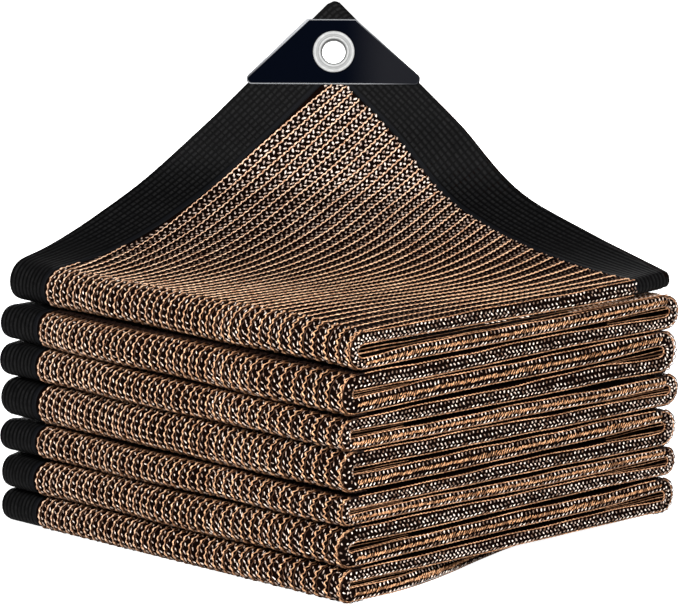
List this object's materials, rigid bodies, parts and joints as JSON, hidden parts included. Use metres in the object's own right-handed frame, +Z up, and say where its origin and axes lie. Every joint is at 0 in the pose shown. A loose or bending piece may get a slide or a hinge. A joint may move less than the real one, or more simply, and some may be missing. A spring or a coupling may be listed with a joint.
{
  "type": "shade cloth",
  "caption": "Knitted shade cloth folded back and forth into a square stack, edges bound in ribbed tape, one corner raised with plates and a metal eyelet.",
  "frame": {"origin": "middle of the stack's flat underside, on the surface it lies on", "axes": "+X along the folds, from the bound edge to the rounded free edge; +Y across the folds, from the front folds to the lifted hem; +Z up"},
  "size_m": [0.2571, 0.2431, 0.2615],
  "materials": {
    "knit": "matte knitted strands, tan over black with cream stitches",
    "tape": "matte ribbed woven tape",
    "plate_plastic": "glossy moulded",
    "eyelet_metal": "bright rolled"
  },
  "bodies": {
    "root": {"cloth": "knit", "side_binding": "tape", "end_binding": "tape", "corner_plate_front": "plate_plastic", "corner_plate_back": "plate_plastic", "eyelet": "eyelet_metal"}
  },
  "joints": []
}
